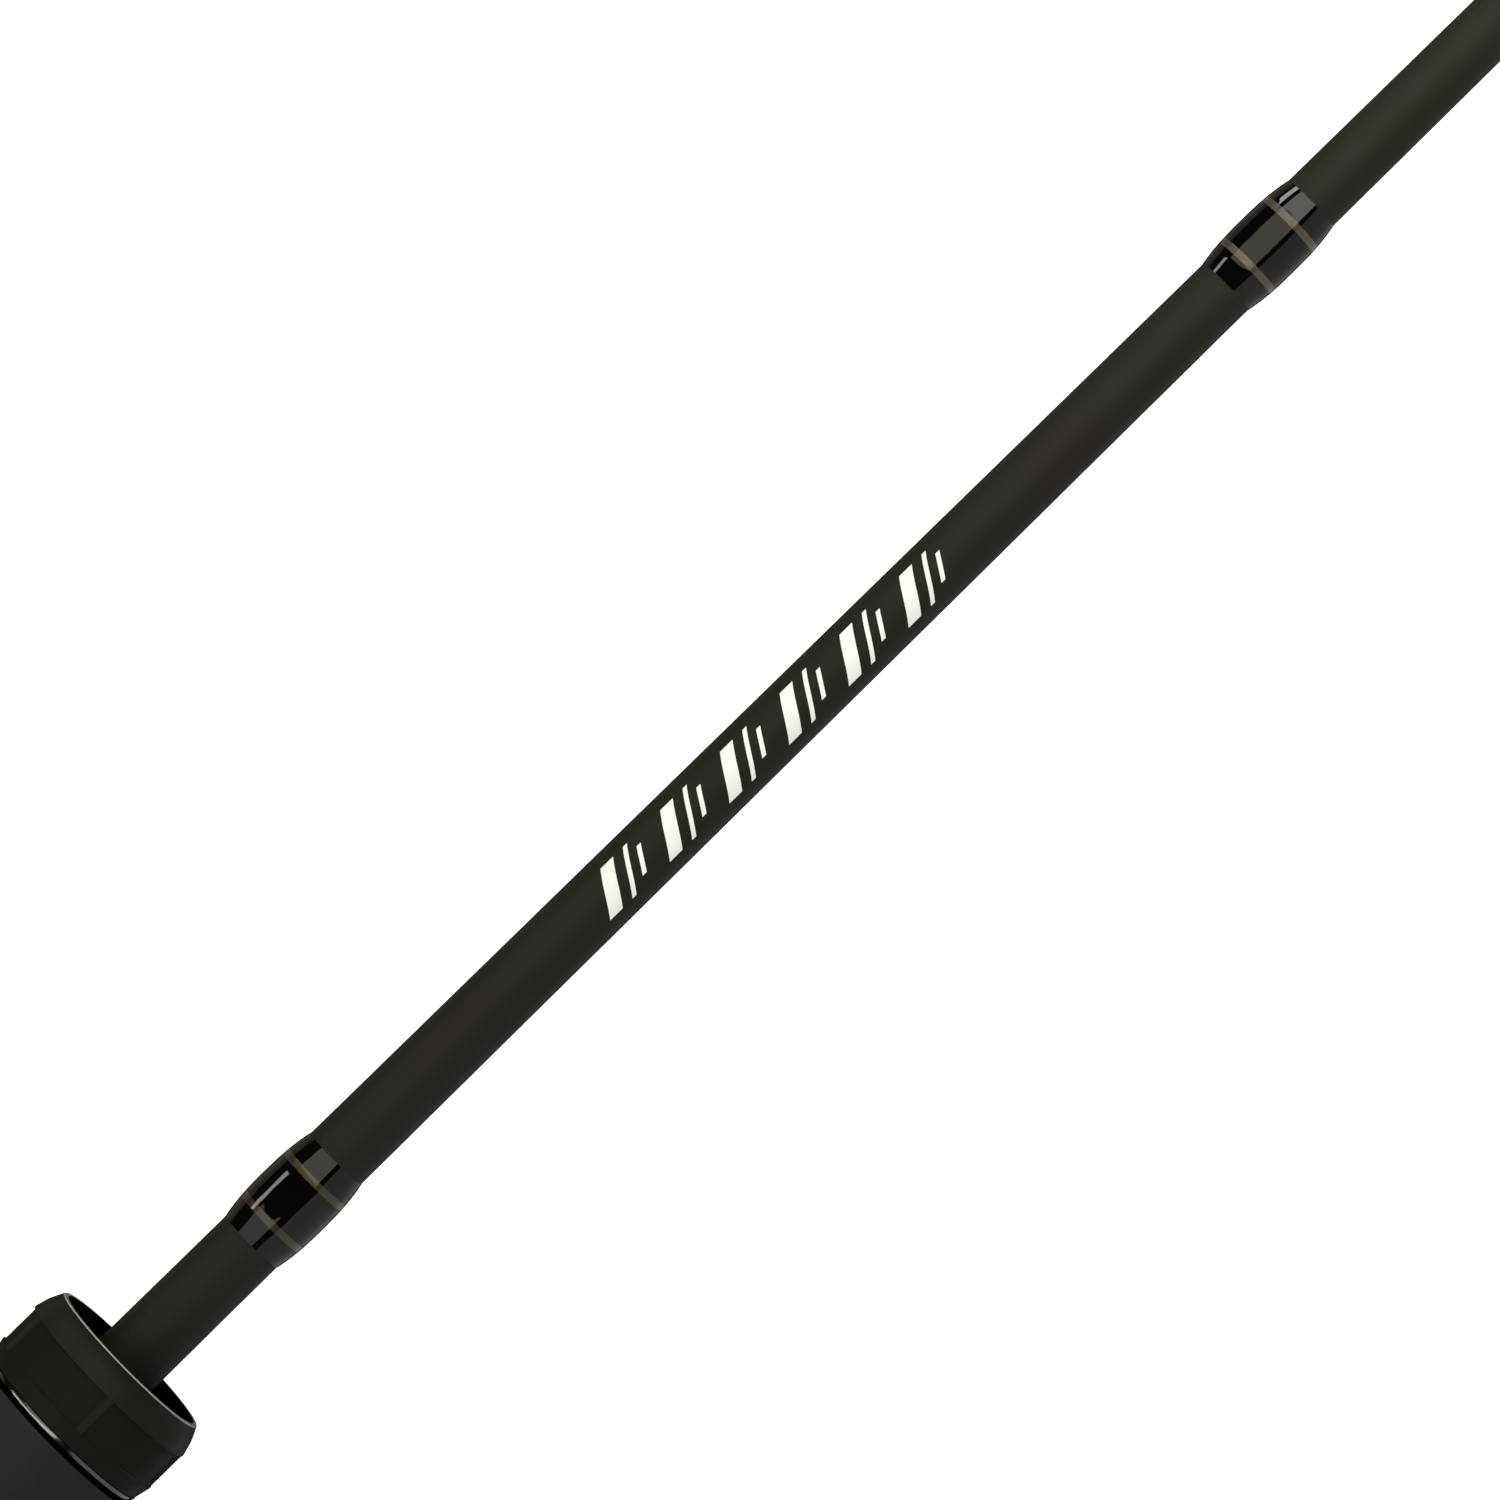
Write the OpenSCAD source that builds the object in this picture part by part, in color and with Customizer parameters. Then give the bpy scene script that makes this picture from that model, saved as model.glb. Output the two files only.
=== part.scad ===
// Two-piece spinning rod, lying on its side with the guides out to one side.
// Butt face at x = 0, tip along +X, blank axis on y = z = 0, guides and reel foot bed towards -Y,
// the lettered side of the blank up (+Z). Units are millimetres.

/* [Blank] */
// Length of the assembled rod, butt face to front of the tip ring
rod_len = 1980; // [1900:5:2100]
// Blank diameter at the front rim of the lock nut
blank_d = 10.57; // [9:0.01:12]
// Loss of blank diameter per millimetre towards the tip
blank_taper = 0.00598; // [0.005:0.00001:0.0062]
// Wall of the hollow blank at the butt
blank_wall = 1.3; // [1:0.1:1.8]
// Wall of the hollow blank at the ferrule
blank_wall_end = 1.0; // [0.8:0.1:1.2]

/* [Ferrule] */
// Front end of the butt section, inside the ferrule
male_end = 1020; // [1000:1:1040]
// Length of the two sections' overlap
ferrule_len = 57; // [45:1:65]
// Radial clearance in the ferrule
ferrule_clear = 0.07; // [0.02:0.01:0.1]
// Wall of the socket in the tip section
socket_wall = 0.8; // [0.6:0.1:1.2]

/* [Butt cap and grips] */
// Length of the rubber butt cap
cap_len = 14; // [10:1:20]
// Radius of the butt cap
cap_r = 13.3; // [12:0.1:13.4]
// Length of the metal ring between cap and grip
butt_ring_len = 2; // [1:0.5:4]
// Radius of the cylindrical part of the rear grip
grip_r = 13.5; // [13:0.1:15]
// Length of the rear grip
rear_grip_len = 100; // [80:5:130]
// Radius at the front end of the rear grip
rear_grip_front_r = 9.6; // [9:0.1:12]
// Start of the upper grip
upper_grip_start = 240; // [200:5:260]
// Radius at the rear end of the upper grip
upper_grip_rear_r = 10.4; // [9.5:0.1:12]
// Radius at the front end of the upper grip
upper_grip_front_r = 14.4; // [13:0.1:14.8]
// Length of each winding check
check_len = 5; // [3:0.5:8]

/* [Reel seat] */
// Rear end of the reel seat
seat_start = 352; // [340:1:360]
// Front end of the threaded barrel
barrel_end = 474; // [470:0.5:476]
// Radius over the thread crests of the barrel
barrel_r = 11.8; // [11:0.1:12.5]
// Depth of the thread
thread_depth = 0.45; // [0.3:0.05:0.6]
// Thread pitch
thread_pitch = 2; // [1.5:0.25:2.5]
// Distance of the foot bed from the axis
bed_y = 8.2; // [7.6:0.1:9]
// Depth of the relief that continues the bed under each hood
bed_relief = 0.15; // [0.1:0.05:0.3]
// Radius of the bore in the seat
seat_bore_r = 7.0; // [6.5:0.1:7.2]
// Outside radius of both hoods
hood_r = 15.1; // [14.8:0.1:16]
// Radius of the pocket under a hood
pocket_r = 14.3; // [14:0.1:14.5]
// Thickness of the metal pocket liners
liner_t = 0.4; // [0.3:0.05:0.6]
// Bottom of the pocket in the fixed hood
fixed_pocket = 380; // [376:1:384]
// Mouth of the fixed hood
fixed_mouth = 392; // [388:1:396]
// Rear end of the sliding hood
slide_mouth = 440; // [436:1:444]
// Bottom of the pocket in the sliding hood
slide_pocket = 454; // [450:1:456]
// Front face of the sliding hood
slide_front = 465.6; // [464.6:0.1:466]
// Width of the key that stops the sliding hood turning
key_w = 3.8; // [3:0.1:5]

/* [Lock nut] */
// Front rim of the lock nut
nut_front = 480; // [478:0.5:482]
// Outer radius of the front rim
nut_rim_r = 13.5; // [13.2:0.1:14]
// Radius of the dark mouth of the nut
nut_mouth_r = 12.5; // [12.2:0.1:12.8]
// Largest radius of the nut
nut_r = 15.05; // [14.9:0.05:16]
// Length of the nut's coned nose
nose_len = 4.3; // [4:0.1:5]
// Radius of the polished ring behind the nut
trim_r = 14.6; // [14.2:0.1:14.8]
// Width of the polished ring
trim_w = 0.9; // [0.8:0.1:1.0]
// Depth of the finger pads
pad_depth = 0.3; // [0.2:0.05:0.6]
// Number of finger pads
pad_count = 5; // [4:1:6]
// Angle of the ridge between two pads
ridge_angle = 4; // [2:1:10]
// Distance of the pads' rear end from the rim
pad_end = 10.8; // [10:0.1:11]
// Radius of the nut at its rear face
nut_rear_r = 14.5; // [14.3:0.1:14.8]
// Radial running clearance of nut and hood
turn_clear = 0.08; // [0.02:0.01:0.1]

/* [Thread wraps] */
// Rear end of the keeper wrap
keeper_start = 504.1; // [500:0.1:510]
// Length of the keeper wrap and of the label wrap
wrap_len = 16.9; // [14:0.1:20]
// Height of the keeper wrap at its middle
keeper_h = 0.74; // [0.6:0.01:0.9]
// Rear end of the label wrap
label_start = 698.9; // [690:0.1:710]
// Height of the label wrap at its middle
label_h = 0.68; // [0.6:0.01:0.9]
// Width of a trim band
band_w = 1.1; // [0.8:0.1:1.3]
// Distance of a trim band from its end of the wrap
band_in = 4.2; // [3:0.1:6]
// Clearance between a wrap and the blank
wrap_gap = 0.02; // [0.01:0.01:0.05]

/* [Guides] */
// Distance of the first guide from the tip
guide_1_from_tip = 1065; // [1050:5:1080]
// Distance of the second guide from the tip
guide_2_from_tip = 730; // [700:5:760]
// Distance of the third guide from the tip
guide_3_from_tip = 515; // [500:5:530]
// Distance of the fourth guide from the tip
guide_4_from_tip = 350; // [340:5:365]
// Distance of the fifth guide from the tip
guide_5_from_tip = 215; // [205:5:230]
// Distance of the sixth guide from the tip
guide_6_from_tip = 100; // [90:5:110]
// Height of the first guide's ring centre over the blank
guide_1_h = 28; // [24:0.5:32]
// Height of the second guide's ring centre over the blank
guide_2_h = 18; // [16:0.5:20]

/* [Hidden] */
$fn = 64;
black = [0.05, 0.05, 0.05];
olive = [0.14, 0.14, 0.12];
steel = [0.45, 0.45, 0.47];
bronze = [0.42, 0.38, 0.3];
foam = [0.1, 0.1, 0.1];
grip_start = cap_len + butt_ring_len;
grip_end = grip_start + rear_grip_len;
socket_start = male_end - ferrule_len;
nut_rear = slide_front + trim_w + 0.05;
pad_angle = 360 / pad_count - ridge_angle;
blank_start = 4;
bed_margin = 1;
tip_tube_start = rod_len - 24;
tip_tube_end = rod_len - 10;
blank_end = rod_len - 12;
steps = 16;

// radius of the blank at x
function r_at(x) = (blank_d - blank_taper * (x - nut_front)) / 2;
// inside radius of the butt section at x
function bore_at(x) = r_at(x) - blank_wall - (blank_wall_end - blank_wall) * (x - blank_start) / (male_end - blank_start);
// bulge of a wrap, u from 0 to 1 along it
function bulge(u) = 1 - pow(abs(2 * u - 1), 2.6);

// profile points are [radius, x], turned about the blank axis
module turned(pts) {
  rotate([0, 90, 0])
    rotate_extrude()
      polygon(pts);
}

// ring or tube with straight or conical walls
module tube(x0, x1, ro0, ro1, ri0, ri1) {
  turned([[ri0, x0], [ro0, x0], [ro1, x1], [ri1, x1]]);
}

// box given by its two corners
module block(a, b) {
  translate(a)
    cube(b - a);
}

// round bar between two points
module bar(a, b, r) {
  d = b - a;
  translate(a)
    rotate([0, acos(d[2] / norm(d)), atan2(d[1], d[0])])
      cylinder(h = norm(d), r = r);
}

// lacquered thread wrap over the blank
module wrap(x0, x1, h) {
  turned(concat(
    [for (i = [0:steps]) let (u = i / steps, x = x0 + (x1 - x0) * u) [r_at(x) + wrap_gap + 0.12 + (h - 0.12) * bulge(u), x]],
    [[r_at(x1) + wrap_gap, x1], [r_at(x0) + wrap_gap, x0]]));
}

// trim band let into a wrap that starts at x0; g grows it to cut its own seat
module band(x0, len, h, at, g) {
  r = r_at(at) + wrap_gap + 0.12 + (h - 0.12) * bulge((at - x0) / len);
  tube(at - band_w / 2 - g, at + band_w / 2 + g, r + 0.04 + g * 40, r + 0.04 + g * 40, r - 0.22 - g, r - 0.22 - g);
}

module trimmed_wrap(x0, len, h) {
  difference() {
    wrap(x0, x0 + len, h);
    band(x0, len, h, x0 + band_in, 0.01);
    band(x0, len, h, x0 + len - band_in, 0.01);
  }
}

module trim_bands(x0, len, h) {
  band(x0, len, h, x0 + band_in, 0);
  band(x0, len, h, x0 + len - band_in, 0);
}

// half-space on the reel foot side of the bed, between x0 and x1, less g
module foot_side(x0, x1, g) {
  block([x0, -40, -40], [x1, -bed_y - g, 40]);
}

// room under a hood, from the bed plane out to radius r
module pocket(x0, x1, r, g) {
  intersection() {
    tube(x0, x1, r, r, 0, 0);
    foot_side(x0 - 1, x1 + 1, g);
  }
}

module liner(x0, x1) {
  intersection() {
    tube(x0, x1, pocket_r - 0.02, pocket_r - 0.02, pocket_r - liner_t, pocket_r - liner_t);
    foot_side(x0 - 1, x1 + 1, 0.3);
  }
}

// ---- handle ----

module butt_cap() {
  color(black)
    difference() {
      turned([[0, 0], [cap_r - 1.6, 0], [cap_r - 0.6, 0.5], [cap_r, 1.8], [cap_r, cap_len], [0, cap_len]]);
      tube(blank_start, cap_len + 1, r_at(blank_start) + 0.03, r_at(cap_len) + 0.03, 0, 0);
    }
}

module butt_trim_ring() {
  color(steel)
    tube(cap_len, grip_start, cap_r, cap_r, r_at(cap_len) + 0.05, r_at(cap_len) + 0.05);
}

module balance_weight() {
  color(bronze)
    tube(blank_start + 1, blank_start + 31, bore_at(blank_start + 31) - 0.05, bore_at(blank_start + 31) - 0.05, 0, 0);
}

module rear_grip() {
  color(foam)
    difference() {
      turned([[0, grip_start], [grip_r, grip_start], [grip_r, grip_start + 62], [grip_r - 0.5, grip_start + 70],
        [grip_r - 1.6, grip_start + 80], [rear_grip_front_r + 0.9, grip_end - 8], [rear_grip_front_r, grip_end - 1],
        [rear_grip_front_r - 0.8, grip_end], [0, grip_end]]);
      tube(grip_start - 1, grip_end + 1, r_at(grip_start) + 0.03, r_at(grip_end) + 0.03, 0, 0);
    }
}

module rear_grip_check() {
  color(steel)
    turned([[r_at(grip_end) + 0.03, grip_end], [8.6, grip_end], [8.6, grip_end + 1.4], [7.4, grip_end + check_len],
      [r_at(grip_end) + 0.03, grip_end + check_len]]);
}

module butt_blank() {
  color(olive)
    tube(blank_start, male_end, r_at(blank_start), r_at(male_end), bore_at(blank_start), bore_at(male_end));
}

module ferrule_plug() {
  color(black)
    tube(male_end - 8, male_end, bore_at(male_end) - 0.02, bore_at(male_end) - 0.02, 0, 0);
}

module upper_grip_check() {
  x = upper_grip_start;
  color(steel)
    turned([[r_at(x - check_len) + 0.03, x - check_len], [7.2, x - check_len], [8.6, x - 1.4], [8.6, x],
      [r_at(x - check_len) + 0.03, x]]);
}

module upper_grip() {
  x0 = upper_grip_start;
  x1 = seat_start - 2;
  color(foam)
    difference() {
      turned([[0, x0], [upper_grip_rear_r - 0.8, x0], [upper_grip_rear_r, x0 + 1], [upper_grip_rear_r + 0.9, x0 + 10],
        [upper_grip_rear_r + 2.6, x0 + 36], [upper_grip_front_r - 0.4, x0 + 72], [upper_grip_front_r, x1 - 16],
        [upper_grip_front_r, x1], [0, x1]]);
      tube(x0 - 1, x1 + 1, r_at(x0) + 0.03, r_at(x1) + 0.03, 0, 0);
    }
}

// ---- reel seat ----

module seat_trim_ring() {
  color(steel)
    tube(seat_start - 2, seat_start, 14.7, 14.7, r_at(seat_start - 2) + 0.03, r_at(seat_start - 2) + 0.03);
}

// thread crests and roots along the barrel
function thread_pts(x0, n) = [for (i = [0:n - 1]) each [[barrel_r, x0 + i * thread_pitch + 0.5],
  [barrel_r - thread_depth, x0 + i * thread_pitch + 0.9], [barrel_r - thread_depth, x0 + i * thread_pitch + 1.1],
  [barrel_r, x0 + i * thread_pitch + 1.5]]];

module seat_body() {
  thread_start = fixed_mouth + 28;
  turns = floor((barrel_end - 1.5 - thread_start) / thread_pitch);
  color(black)
    difference() {
      turned(concat(
        [[seat_bore_r, seat_start], [14.5, seat_start], [hood_r, seat_start + 3], [hood_r, fixed_mouth - 1], [hood_r - 0.3, fixed_mouth],
          [barrel_r, fixed_mouth]],
        thread_pts(thread_start, turns),
        [[barrel_r, barrel_end - 0.6], [barrel_r - 0.6, barrel_end], [seat_bore_r, barrel_end]]));
      pocket(fixed_pocket, fixed_mouth + 1, pocket_r, -bed_relief);
      foot_side(fixed_mouth - 0.01, slide_pocket + 2, 0);
      foot_side(fixed_mouth - 0.01, fixed_mouth + bed_margin, -bed_relief);
      foot_side(slide_mouth - bed_margin, slide_pocket + 2, -bed_relief);
      block([fixed_mouth + 6, barrel_r - 1, -key_w / 2 - 0.1], [barrel_end + 1, barrel_r + 5, key_w / 2 + 0.1]);
    }
}

module fixed_hood_liner() {
  color(steel)
    liner(fixed_pocket + 0.02, fixed_mouth - 0.3);
}

module seat_arbor_rear() {
  color([0.55, 0.45, 0.32])
    tube(seat_start + 6, seat_start + 32, seat_bore_r - 0.02, seat_bore_r - 0.02, r_at(seat_start + 6) + 0.03, r_at(seat_start + 6) + 0.03);
}

module seat_arbor_front() {
  color([0.55, 0.45, 0.32])
    tube(barrel_end - 40, barrel_end - 2, seat_bore_r - 0.02, seat_bore_r - 0.02, r_at(barrel_end - 40) + 0.03, r_at(barrel_end - 40) + 0.03);
}

module sliding_hood() {
  b = barrel_r + turn_clear;
  color(black)
    union() {
      difference() {
        turned([[b, slide_mouth], [hood_r - 0.5, slide_mouth], [hood_r, slide_mouth + 1.2], [hood_r, slide_front - 1],
          [hood_r - 0.5, slide_front], [13.2, slide_front], [13.2, slide_front + 2.2], [13.75, slide_front + 2.4],
          [13.75, slide_front + 3.4], [13.4, slide_front + 3.8], [b, slide_front + 3.8]]);
        pocket(slide_mouth - 1, slide_pocket, pocket_r, 0);
      }
      block([slide_mouth + 5, barrel_r - 0.9, -key_w / 2], [slide_front - 2, b + 0.9, key_w / 2]);
    }
}

module sliding_hood_liner() {
  color(steel)
    liner(slide_mouth + 0.3, slide_pocket - 0.02);
}

// finger pad sunk in the nut; the first one ends just past the lettered side
module pad(a) {
  rotate([a + 185 - pad_angle, 0, 0])
    rotate([0, 90, 0])
      rotate_extrude(angle = pad_angle)
        polygon([[nut_r - pad_depth, nut_front - pad_end], [nut_r + 1, nut_front - pad_end],
          [nut_r + 1, nut_front - nose_len - 0.1], [nut_r - pad_depth, nut_front - nose_len - 0.1]]);
}

module lock_nut() {
  b = barrel_r + turn_clear;
  x0 = nut_rear;
  color(black)
    difference() {
      turned([[13.28, x0], [nut_rear_r - 0.15, x0], [nut_rear_r, x0 + 0.15], [nut_r, nut_front - pad_end + 0.1],
        [nut_r, nut_front - nose_len], [(nut_r + nut_rim_r) / 2 + 0.2, nut_front - 2.2], [nut_rim_r, nut_front - 0.15],
        [nut_rim_r - 0.15, nut_front], [nut_mouth_r + 0.2, nut_front], [nut_mouth_r, nut_front - 0.4],
        [nut_mouth_r, barrel_end + 0.3], [b, barrel_end - 0.8], [b, slide_front + 4.4], [13.9, slide_front + 4.1],
        [13.9, slide_front + 2.1], [13.28, slide_front + 1.9]]);
      for (i = [0:pad_count - 1])
        pad(i * 360 / pad_count);
    }
}

module nut_trim_ring() {
  color(steel)
    turned([[13.3, slide_front + 0.02], [trim_r - 0.15, slide_front + 0.02], [trim_r, slide_front + 0.2], [trim_r, nut_rear - 0.2],
      [trim_r - 0.15, nut_rear - 0.03], [13.3, nut_rear - 0.03]]);
}

// ---- thread wraps ahead of the seat ----

module keeper_wrap() {
  color(black)
    difference() {
      trimmed_wrap(keeper_start, wrap_len, keeper_h);
      keeper_foot(0.02);
    }
}

module keeper_bands() {
  color(bronze)
    difference() {
      trim_bands(keeper_start, wrap_len, keeper_h);
      keeper_foot(0.03);
    }
}

// flat foot of the hook keeper, under the wrap; g grows it
module keeper_foot(g) {
  r = r_at(keeper_start) + 0.04;
  block([keeper_start + 9 - g, -1.1 - g, -r - 0.4 - g], [keeper_start + wrap_len + 4.4 + g, 1.1 + g, -r + g]);
}

module hook_keeper() {
  r = r_at(keeper_start) + 0.04;
  color(steel)
    union() {
      keeper_foot(0);
      translate([keeper_start + wrap_len + 4.2, 0, -r - 2.9])
        rotate([90, 0, 0])
          rotate_extrude()
            translate([2.3, 0])
              circle(r = 0.5);
    }
}

module label_wrap() {
  color(black)
    trimmed_wrap(label_start, wrap_len, label_h);
}

module label_bands() {
  color(bronze)
    trim_bands(label_start, wrap_len, label_h);
}

// ---- tip section and ferrule ----

module tip_blank() {
  s0 = r_at(socket_start) + ferrule_clear;
  s1 = r_at(male_end) + ferrule_clear;
  x2 = male_end + 40;
  x3 = blank_end - 300;
  color(olive)
    turned([[s0, socket_start], [s0 + socket_wall, socket_start], [s1 + socket_wall, male_end + 4], [r_at(x2), x2],
      [r_at(blank_end), blank_end], [0, blank_end], [0, x3 + 6], [r_at(x3) - 0.8, x3], [s1 - 1.2, male_end + 8],
      [s1 - 0.6, male_end + 2], [s1, male_end + 2]]);
}

function socket_r(x) = r_at(socket_start) + ferrule_clear + socket_wall + wrap_gap
  - (r_at(socket_start) - r_at(male_end)) * (x - socket_start) / (male_end + 4 - socket_start);

module ferrule_wrap() {
  x0 = socket_start;
  len = 38;
  h = 0.45;
  color(black)
    difference() {
      turned(concat(
        [for (i = [0:steps]) let (u = i / steps, x = x0 + len * u) [socket_r(x) + 0.12 + (h - 0.12) * bulge(u), x]],
        [[socket_r(x0 + len), x0 + len], [socket_r(x0), x0]]));
      ferrule_band(x0 + 5, 0.01);
      ferrule_band(x0 + len - 5, 0.01);
    }
}

module ferrule_band(at, g) {
  r = socket_r(at) + 0.12 + 0.33 * bulge((at - socket_start) / 38);
  tube(at - band_w / 2 - g, at + band_w / 2 + g, r + 0.04 + g * 40, r + 0.04 + g * 40, r - 0.16 - g, r - 0.16 - g);
}

module ferrule_bands() {
  color(bronze) {
    ferrule_band(socket_start + 5, 0);
    ferrule_band(socket_start + 33, 0);
  }
}

// ---- guides ----
// a guide is [ring plane x, centre height, ceramic bore r, ceramic outer r, holder r, wire r, foot length,
// foot half width, foot thickness, leg reach]
g1 = [rod_len - guide_1_from_tip, guide_1_h, 9.75, 11.3, 12.5, 0.9, 15, 1.5, 0.9, 13];
g2 = [rod_len - guide_2_from_tip, guide_2_h, 5.9, 7.2, 8.1, 0.7, 12, 1.2, 0.8, 9];
g3 = [rod_len - guide_3_from_tip, 10.5, 3.6, 4.6, 5.2, 0.5, 10, 0.9, 0.6, 5.5];
g4 = [rod_len - guide_4_from_tip, 8, 2.8, 3.65, 4.2, 0.45, 9, 0.8, 0.5, 4.5];
g5 = [rod_len - guide_5_from_tip, 7, 2.4, 3.2, 3.7, 0.42, 8, 0.75, 0.45, 4];
g6 = [rod_len - guide_6_from_tip, 6.3, 2.05, 2.75, 3.25, 0.4, 8, 0.7, 0.4, 3.6];

function ring_y(g) = -(r_at(g[0]) + g[1]);
function ring_w(g) = 1.2 + g[4] * 0.07;
function foot_y(g, x) = r_at(x) + 0.05;

// ceramic insert, lip rounded with three flats a side
module guide_ring(g) {
  w = ring_w(g) / 2 + 0.15;
  color([0.12, 0.12, 0.13])
    translate([g[0], ring_y(g), 0])
      turned([[g[2] + 0.05, -w * 0.45], [g[2] + 0.35, -w * 0.85], [g[2] + 0.6, -w], [g[3] - 0.02, -w], [g[3] - 0.02, w],
        [g[2] + 0.6, w], [g[2] + 0.35, w * 0.85], [g[2] + 0.05, w * 0.45], [g[2], 0]]);
}

module holder(g) {
  translate([g[0], ring_y(g), 0])
    tube(-ring_w(g) / 2, ring_w(g) / 2, g[4], g[4], g[3], g[3]);
}

// tapered foot from its inner end x0 to its outer end x1; grow widens it to cut its seat in a wrap
module foot(g, x0, x1, grow) {
  y = foot_y(g, min(x0, x1));
  t = g[8];
  translate([0, 0, -g[7] - grow])
    linear_extrude(height = 2 * (g[7] + grow))
      polygon([[x0, -y + grow], [x0, -y - t - grow], [x1, -y - t * 0.35 - grow], [x1, -y + grow]]);
}

// block where the legs of one side leave the foot
module heel(g, x0, dir) {
  y = foot_y(g, min(x0, x0 + dir * 2.2 * g[5]));
  a = min(x0, x0 - dir * 3 * g[5]);
  b = max(x0, x0 - dir * 3 * g[5]);
  yy = foot_y(g, a);
  block([a, -yy - g[8] - g[5], -g[7]], [b, -yy, g[7]]);
}

// two legs from a heel at x0 up to the ring at angle phi each side of its foot point
module legs(g, x0, phi) {
  y = foot_y(g, x0) + g[8] * 0.6;
  rm = (g[3] + g[4]) / 2 + 0.1;
  for (s = [-1, 1])
    bar([x0, -y, s * (g[7] - g[5] * 0.6)], [g[0], ring_y(g) + rm * cos(phi), s * rm * sin(phi)], g[5]);
}

// guide with a foot each way
module double_foot_frame(g) {
  color(steel)
    union() {
      holder(g);
      foot(g, g[0] - g[9], g[0] - g[9] - g[6], 0);
      foot(g, g[0] + g[9], g[0] + g[9] + g[6], 0);
      heel(g, g[0] - g[9], -1);
      heel(g, g[0] + g[9], 1);
      legs(g, g[0] - g[9] + 1.5 * g[5], 62);
      legs(g, g[0] + g[9] - 1.5 * g[5], 24);
    }
}

// guide with one foot, towards the tip
module single_foot_frame(g) {
  color(steel)
    union() {
      holder(g);
      foot(g, g[0] + g[9], g[0] + g[9] + g[6], 0);
      heel(g, g[0] + g[9], 1);
      legs(g, g[0] + g[9] - 1.5 * g[5], 50);
    }
}

// wrap over the foot that starts at x0 and runs to x1
module foot_wrap(g, x0, x1) {
  over = x1 > x0 ? 4 : -4;
  gap = x1 > x0 ? 0.6 : -0.6;
  color(black)
    difference() {
      wrap(min(x0 + gap, x1 + over), max(x0 + gap, x1 + over), g[8] + 0.3);
      foot(g, x0 - gap, x1 + gap * 0.04, 0.02);
    }
}

module guide_1_frame() { double_foot_frame(g1); }
module guide_1_ring() { guide_ring(g1); }
module guide_1_wrap_rear() { foot_wrap(g1, g1[0] - g1[9], g1[0] - g1[9] - g1[6]); }
module guide_1_wrap_front() { foot_wrap(g1, g1[0] + g1[9], g1[0] + g1[9] + g1[6]); }
module guide_2_frame() { double_foot_frame(g2); }
module guide_2_ring() { guide_ring(g2); }
module guide_2_wrap_rear() { foot_wrap(g2, g2[0] - g2[9], g2[0] - g2[9] - g2[6]); }
module guide_2_wrap_front() { foot_wrap(g2, g2[0] + g2[9], g2[0] + g2[9] + g2[6]); }
module guide_3_frame() { single_foot_frame(g3); }
module guide_3_ring() { guide_ring(g3); }
module guide_3_wrap() { foot_wrap(g3, g3[0] + g3[9], g3[0] + g3[9] + g3[6]); }
module guide_4_frame() { single_foot_frame(g4); }
module guide_4_ring() { guide_ring(g4); }
module guide_4_wrap() { foot_wrap(g4, g4[0] + g4[9], g4[0] + g4[9] + g4[6]); }
module guide_5_frame() { single_foot_frame(g5); }
module guide_5_ring() { guide_ring(g5); }
module guide_5_wrap() { foot_wrap(g5, g5[0] + g5[9], g5[0] + g5[9] + g5[6]); }
module guide_6_frame() { single_foot_frame(g6); }
module guide_6_ring() { guide_ring(g6); }
module guide_6_wrap() { foot_wrap(g6, g6[0] + g6[9], g6[0] + g6[9] + g6[6]); }

// tip ring stands at the very end, its tube slipped over the blank
tip_y = -4.6;
tip_x = rod_len - 0.8;

module tip_top_frame() {
  color(steel)
    union() {
      difference() {
        turned([[0, tip_tube_start], [1.4, tip_tube_start], [1.4, tip_tube_end - 0.8], [0.9, tip_tube_end], [0, tip_tube_end]]);
        tube(tip_tube_start - 1, blank_end + 0.05, r_at(tip_tube_start) + 0.03, r_at(tip_tube_start) + 0.03, 0, 0);
      }
      translate([tip_x, tip_y, 0])
        tube(-0.8, 0.8, 3.0, 3.0, 2.4, 2.4);
      for (s = [-1, 1])
        bar([tip_tube_start + 3, -1.1, s * 0.9], [tip_x - 0.1, tip_y + 2.95 * cos(78), s * 2.95 * sin(78)], 0.4);
      bar([tip_tube_end - 1.4, -0.2, 0], [tip_x - 0.1, tip_y + 3.0, 0], 0.45);
    }
}

module tip_top_ring() {
  color([0.12, 0.12, 0.13])
    translate([tip_x, tip_y, 0])
      turned([[1.85, -0.4], [2.1, -0.72], [2.38, -0.75], [2.38, 0.75], [2.1, 0.72], [1.85, 0.4], [1.8, 0]]);
}

module tip_top_wrap() {
  color(black)
    wrap(tip_tube_start - 7, tip_tube_start - 0.05, 0.45);
}

butt_cap();
butt_trim_ring();
balance_weight();
rear_grip();
rear_grip_check();
butt_blank();
ferrule_plug();
upper_grip_check();
upper_grip();
seat_trim_ring();
seat_body();
fixed_hood_liner();
seat_arbor_rear();
seat_arbor_front();
keeper_wrap();
keeper_bands();
hook_keeper();
label_wrap();
label_bands();
sliding_hood();
sliding_hood_liner();
lock_nut();
nut_trim_ring();
tip_blank();
ferrule_wrap();
ferrule_bands();
guide_1_frame();
guide_1_ring();
guide_1_wrap_rear();
guide_1_wrap_front();
guide_2_frame();
guide_2_ring();
guide_2_wrap_rear();
guide_2_wrap_front();
guide_3_frame();
guide_3_ring();
guide_3_wrap();
guide_4_frame();
guide_4_ring();
guide_4_wrap();
guide_5_frame();
guide_5_ring();
guide_5_wrap();
guide_6_frame();
guide_6_ring();
guide_6_wrap();
tip_top_frame();
tip_top_ring();
tip_top_wrap();
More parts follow.
